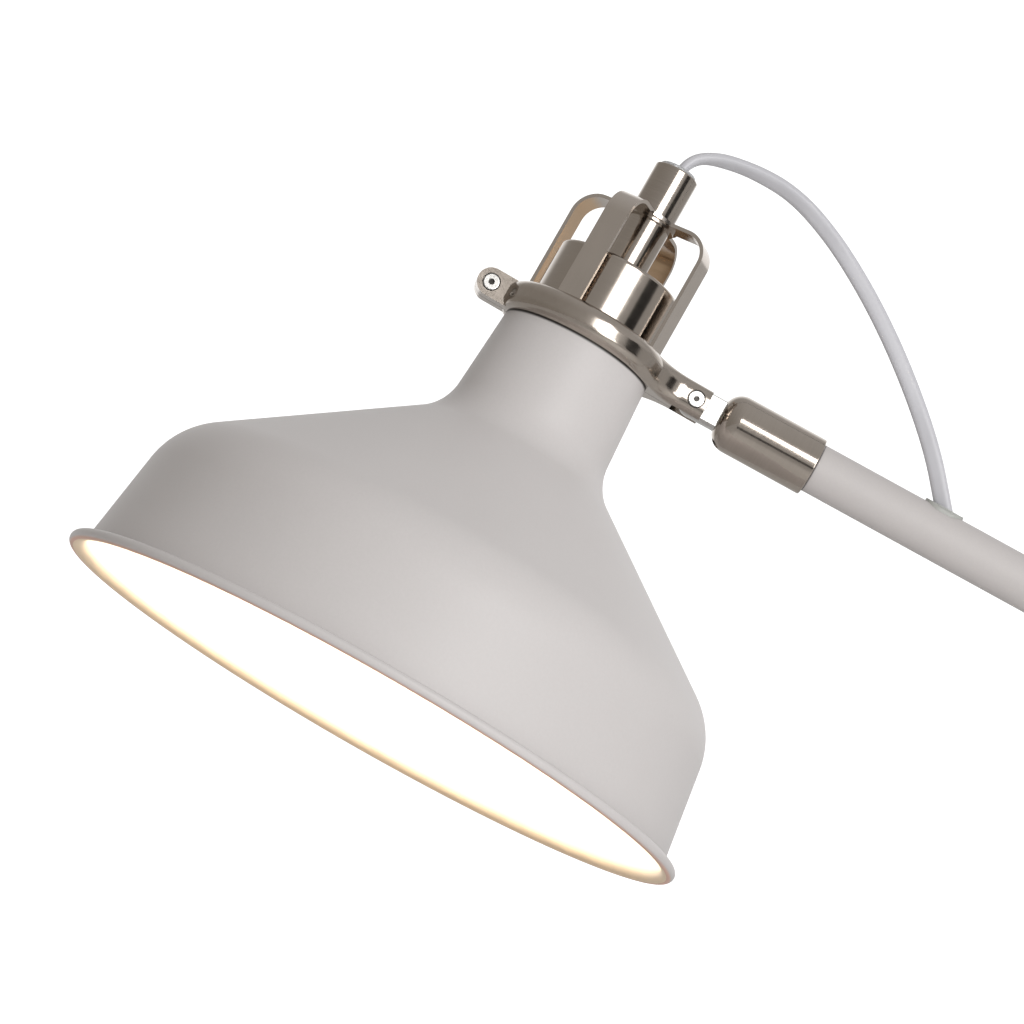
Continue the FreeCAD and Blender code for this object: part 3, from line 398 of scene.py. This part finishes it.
def inset(profile, wall):
    """The inner line of a wall of even thickness, for an outer line that climbs inwards."""
    points = [Vector(corner[:2]) for corner in profile]
    heads = [(b - a).normalized() for a, b in zip(points, points[1:])]
    moved = []
    for index, corner in enumerate(profile):
        arriving, leaving = heads[max(index - 1, 0)], heads[min(index, len(heads) - 1)]
        normals = Vector((-arriving.y, arriving.x)) + Vector((-leaving.y, leaving.x))
        place = points[index] + normals * (2 * wall / normals.length_squared)
        bends_out = arriving.x * leaving.y - arriving.y * leaving.x > 0
        round_ = corner[2] - wall if bends_out else corner[2] + wall
        moved.append((place.x, place.y, round_ if corner[2] else 0))
    return moved


def rounded(profile, step=0.05):
    """The points of a line whose corners are (radius, height, round), one per step radians."""
    points = [Vector(corner[:2]) for corner in profile]
    line = []
    for index, corner in enumerate(profile):
        if not corner[2]:
            line.append(points[index])
            continue
        here = points[index]
        back = (points[index - 1] - here).normalized()
        ahead = (points[index + 1] - here).normalized()
        half = back.angle(ahead) / 2
        middle = here + (back + ahead).normalized() * (corner[2] / math.sin(half))
        first = here + back * (corner[2] / math.tan(half)) - middle
        sweep = first.angle_signed(here + ahead * (corner[2] / math.tan(half)) - middle)
        count = max(3, int(abs(sweep) / step))
        for k in range(count + 1):
            line.append(middle + Matrix.Rotation(-sweep * k / count, 2) @ first)
    return line


def skin(outer_depth, inner_depth):
    """A closed section of the shade's wall between two depths under its outer face."""
    line = []
    for depth, order in ((outer_depth, 1), (inner_depth, -1)):
        face = rounded(inset(OUTER_PROFILE, depth))
        face[-1] = Vector((face[-1].x, NECK_LEVEL - depth))
        face.append(Vector((HOLDER_HOLE, NECK_LEVEL - depth)))
        line += face[::order]
    return line


def ring_section(radius, middle, steps=40):
    """A round section of that radius, its middle that far from the axis at the rim's level."""
    return [Vector((middle + radius * math.cos(2 * math.pi * k / steps),
                    radius * math.sin(2 * math.pi * k / steps))) for k in range(steps)]


def mesh_from(name, bm):
    """Turns a built bmesh into a mesh with its faces looking outwards."""
    bmesh.ops.recalc_face_normals(bm, faces=bm.faces)
    mesh = bpy.data.meshes.new(name)
    bm.to_mesh(mesh)
    bm.free()
    return mesh


def lathe(name, sections, steps=360):
    """Closed sections of (radius, height) in millimetres turned about the head's axis."""
    bm = bmesh.new()
    for section in sections:
        rings = [[bm.verts.new(in_head(radius * math.cos(2 * math.pi * k / steps), height,
                                       radius * math.sin(2 * math.pi * k / steps)))
                  for k in range(steps)] for radius, height in section]
        for ring, after in zip(rings, rings[1:] + rings[:1]):
            for k in range(steps):
                k_next = (k + 1) % steps
                bm.faces.new((ring[k], after[k], after[k_next], ring[k_next]))
    mesh = mesh_from(name, bm)
    mesh.polygons.foreach_set("use_smooth", [True] * len(mesh.polygons))
    mesh.set_sharp_from_angle(angle=SHARP_ANGLE)
    return put(name, mesh)


coat = lathe("shade_outside", [skin(0.0, COAT_DEPTH), ring_section(RIM_BEAD, BEAD_MIDDLE)])
coat.data.materials.append(outside_paint())
lining = lathe("shade_inside", [skin(LINING_DEPTH, SHADE_WALL)])
lining.data.materials.append(inside_paint())
for piece in (coat, lining):
    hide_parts("shade")
    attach(piece, "head")

# ---------------------------------------------------------------- cord
# The cord's middle line as (x, z) in the shade's own frame.
CORD_ROUTE_MM = (
    (0.9, 231.05), (1.6, 236.2), (8.8, 241.8), (24.0, 245.2), (42.0, 245.2), (61.5, 238.4),
    (81.2, 227.6), (99.6, 215.2), (117.8, 200.6), (133.6, 185.8), (145.6, 171.2), (149.1, 166.9),
)
# Share of the way along the cord, and its turn in degrees.
CORD_TWIST = (
    (0.0, 88), (0.1, 84), (0.2, 64), (0.33, 45), (0.43, 24), (0.52, 6), (0.7, 4), (0.85, 18),
    (1.0, 30),
)
CORD_WIDTH = 0.0064
CORD_THICKNESS = 0.0040
CORD_SIDES = 28
GROOVE_DEPTH = 0.05
GROOVE_WIDTH = 0.20
# Powers below 1 make the oval's two half axes fuller.
FULLER_WIDE = 0.85
FULLER_THIN = 0.72


def spline_points(points, resolution=20):
    """Points read from the smooth line that the route's points steer."""
    curve = bpy.data.curves.new("cord_line", "CURVE")
    curve.dimensions = "3D"
    curve.resolution_u = resolution
    spline = curve.splines.new("NURBS")
    spline.points.add(len(points) - 1)
    for point, place in zip(spline.points, points):
        point.co = (*place, 1.0)
    spline.order_u = 3
    spline.use_endpoint_u = True
    holder = bpy.data.objects.new("cord_line", curve)
    mesh = bpy.data.meshes.new_from_object(holder)
    line = [vertex.co.copy() for vertex in mesh.vertices]
    bpy.data.meshes.remove(mesh)
    bpy.data.curves.remove(curve)
    return line


def twist_at(share):
    """Degrees between the cord's wide side and the plane of the arm."""
    for (start, low), (end, high) in zip(CORD_TWIST, CORD_TWIST[1:]):
        if share <= end:
            t = (share - start) / (end - start)
            return low + (high - low) * t * t * (3 - 2 * t)
    return CORD_TWIST[-1][1]


def cord_section():
    """Shares of the half width and half thickness round the cord: an oval with a shallow groove."""
    section = []
    for k in range(CORD_SIDES):
        angle = 2 * math.pi * k / CORD_SIDES
        u, v = math.cos(angle), math.sin(angle)
        groove = 1 - GROOVE_DEPTH * math.exp(-(u / GROOVE_WIDTH) ** 2)
        section.append((math.copysign(abs(u) ** FULLER_WIDE, u),
                        math.copysign(abs(v) ** FULLER_THIN, v) * groove))
    return section


def flat_cord(name, line):
    """A flat two-core lead along the line, turning as CORD_TWIST says."""
    bm = bmesh.new()
    rings = []
    side = Vector((0, 1, 0))
    last = len(line) - 1
    for index, place in enumerate(line):
        along = (line[min(index + 1, last)] - line[max(index - 1, 0)]).normalized()
        across = side.cross(along).normalized()
        twist = math.radians(twist_at(index / last))
        wide = across * math.cos(twist) + side * math.sin(twist)
        thin = along.cross(wide).normalized()
        rings.append([bm.verts.new(place + wide * (CORD_WIDTH / 2 * u)
                                   + thin * (CORD_THICKNESS / 2 * v)) for u, v in cord_section()])
    for ring, after in zip(rings, rings[1:]):
        for k in range(CORD_SIDES):
            k_next = (k + 1) % CORD_SIDES
            bm.faces.new((ring[k], ring[k_next], after[k_next], after[k]))
    bm.faces.new(reversed(rings[0]))
    bm.faces.new(rings[-1])
    mesh = mesh_from(name, bm)
    for face in mesh.polygons:
        face.use_smooth = len(face.vertices) == 4
    return put(name, mesh)


cord_line = spline_points([in_head(x, z) for x, z in CORD_ROUTE_MM])
cord = flat_cord("cord_sheath", cord_line)
cord.data.materials.append(cord_pvc)
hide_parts("head_cord")
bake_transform(cord)


# ---------------------------------------------------------------- stage and light
FLOOR_SIZE = 60.0
LIGHT_COLOUR = (1.0, 0.996, 0.99)
# What the softbox and the cards are aimed at, from the rim's centre.
LIGHT_AIM = Vector((0.05, 0, 0.12))
CARD_AIM = Vector((0.12, 0, 0.12))
# The sky, darker and warmer towards -X, lighter towards +X, and white behind the lamp.
SKY_LEFT = (0.345, 0.325, 0.30, 1)
SKY_RIGHT = (0.57, 0.563, 0.558, 1)
SKY_BEHIND = (1.25, 1.25, 1.25, 1)
SKY_SIDES = (-0.75, 0.75)
SKY_SIDES_TILT = 0.3
BEHIND_FROM = (0.5, 0.9)
BEHIND_TURN = 0.2


def plate(name, place, width, height, material):
    """A flat rectangle about the middle of that place."""
    corners = [place @ Vector((x * width / 2, y * height / 2, 0))
               for x, y in ((-1, -1), (1, -1), (1, 1), (-1, 1))]
    mesh = bpy.data.meshes.new(name)
    mesh.from_pydata([tuple(corner) for corner in corners], [], [(0, 1, 2, 3)])
    mesh.materials.append(material)
    return put(name, mesh)


def towards(azimuth, elevation):
    """The direction at that azimuth (0 is towards -Y, 90 towards +X) and elevation."""
    turn, rise = math.radians(azimuth), math.radians(elevation)
    return Vector((math.sin(turn) * math.cos(rise), -math.cos(turn) * math.cos(rise),
                   math.sin(rise)))


def area_light(name, azimuth, elevation, distance, width, height, radiance):
    """A softbox seen from the head in that direction."""
    light = bpy.data.lights.new(name, "AREA")
    light.shape = "RECTANGLE"
    light.size, light.size_y = width, height
    light.energy = radiance * math.pi * width * height
    light.color = LIGHT_COLOUR
    away = towards(azimuth, elevation)
    holder = put(name, light)
    holder.location = rim_centre + LIGHT_AIM + away * distance
    holder.rotation_mode = "QUATERNION"
    holder.rotation_quaternion = away.to_track_quat("Z", "Y")


def flag(name, azimuth, elevation, distance, width, height):
    """A dark card that shows only in the metal, as a dark line beside the softbox's."""
    away = towards(azimuth, elevation)
    facing = away.to_track_quat("Z", "Y").to_matrix().to_4x4()
    place = Matrix.Translation(rim_centre + CARD_AIM + away * distance) @ facing
    card = plate(name, place, width, height, pad_rubber)
    card.visible_camera = False


def paint_sky():
    """A plain studio all round."""
    world = bpy.data.worlds.new("studio")
    bpy.context.scene.world = world
    world.use_nodes = True
    tree = world.node_tree
    direction = add(tree, "ShaderNodeTexCoord").outputs["Generated"]
    sides = add(tree, "ShaderNodeSeparateXYZ", {0: direction}).outputs
    rightward = calc(tree, "MULTIPLY_ADD", sides["Z"], SKY_SIDES_TILT, sides["X"])
    backward = calc(tree, "MULTIPLY_ADD", sides["X"], BEHIND_TURN, sides["Y"])
    room = mix_colour(tree, ramp(tree, rightward, 0, 1, *SKY_SIDES), SKY_LEFT, SKY_RIGHT)
    behind = ramp(tree, backward, 0, 1, *BEHIND_FROM, shape="SMOOTHSTEP")
    background = tree.nodes["Background"]
    tree.links.new(mix_colour(tree, behind, room, SKY_BEHIND), background.inputs["Color"])
    background.inputs["Strength"].default_value = 1.0


floor_paint = surface("stage_floor", (0.84, 0.84, 0.84), (0.6, 0.7), 0.01, (6, 6, 6),
                      blotch=1.5, bump=0.02)
floor = plate("floor", Matrix.Identity(4), FLOOR_SIZE, FLOOR_SIZE, floor_paint)
area_light("key_softbox", 22.0, -2.5, 2.3, 1.04, 1.42, 6.1)
flag("flag_front", -4.0, -17.0, 2.1, 0.34, 0.26)
flag("flag_side", 61.0, -13.0, 2.1, 0.80, 0.75)
paint_sky()
bpy.context.scene.view_settings.view_transform = "Standard"
bpy.context.scene.view_settings.look = "None"
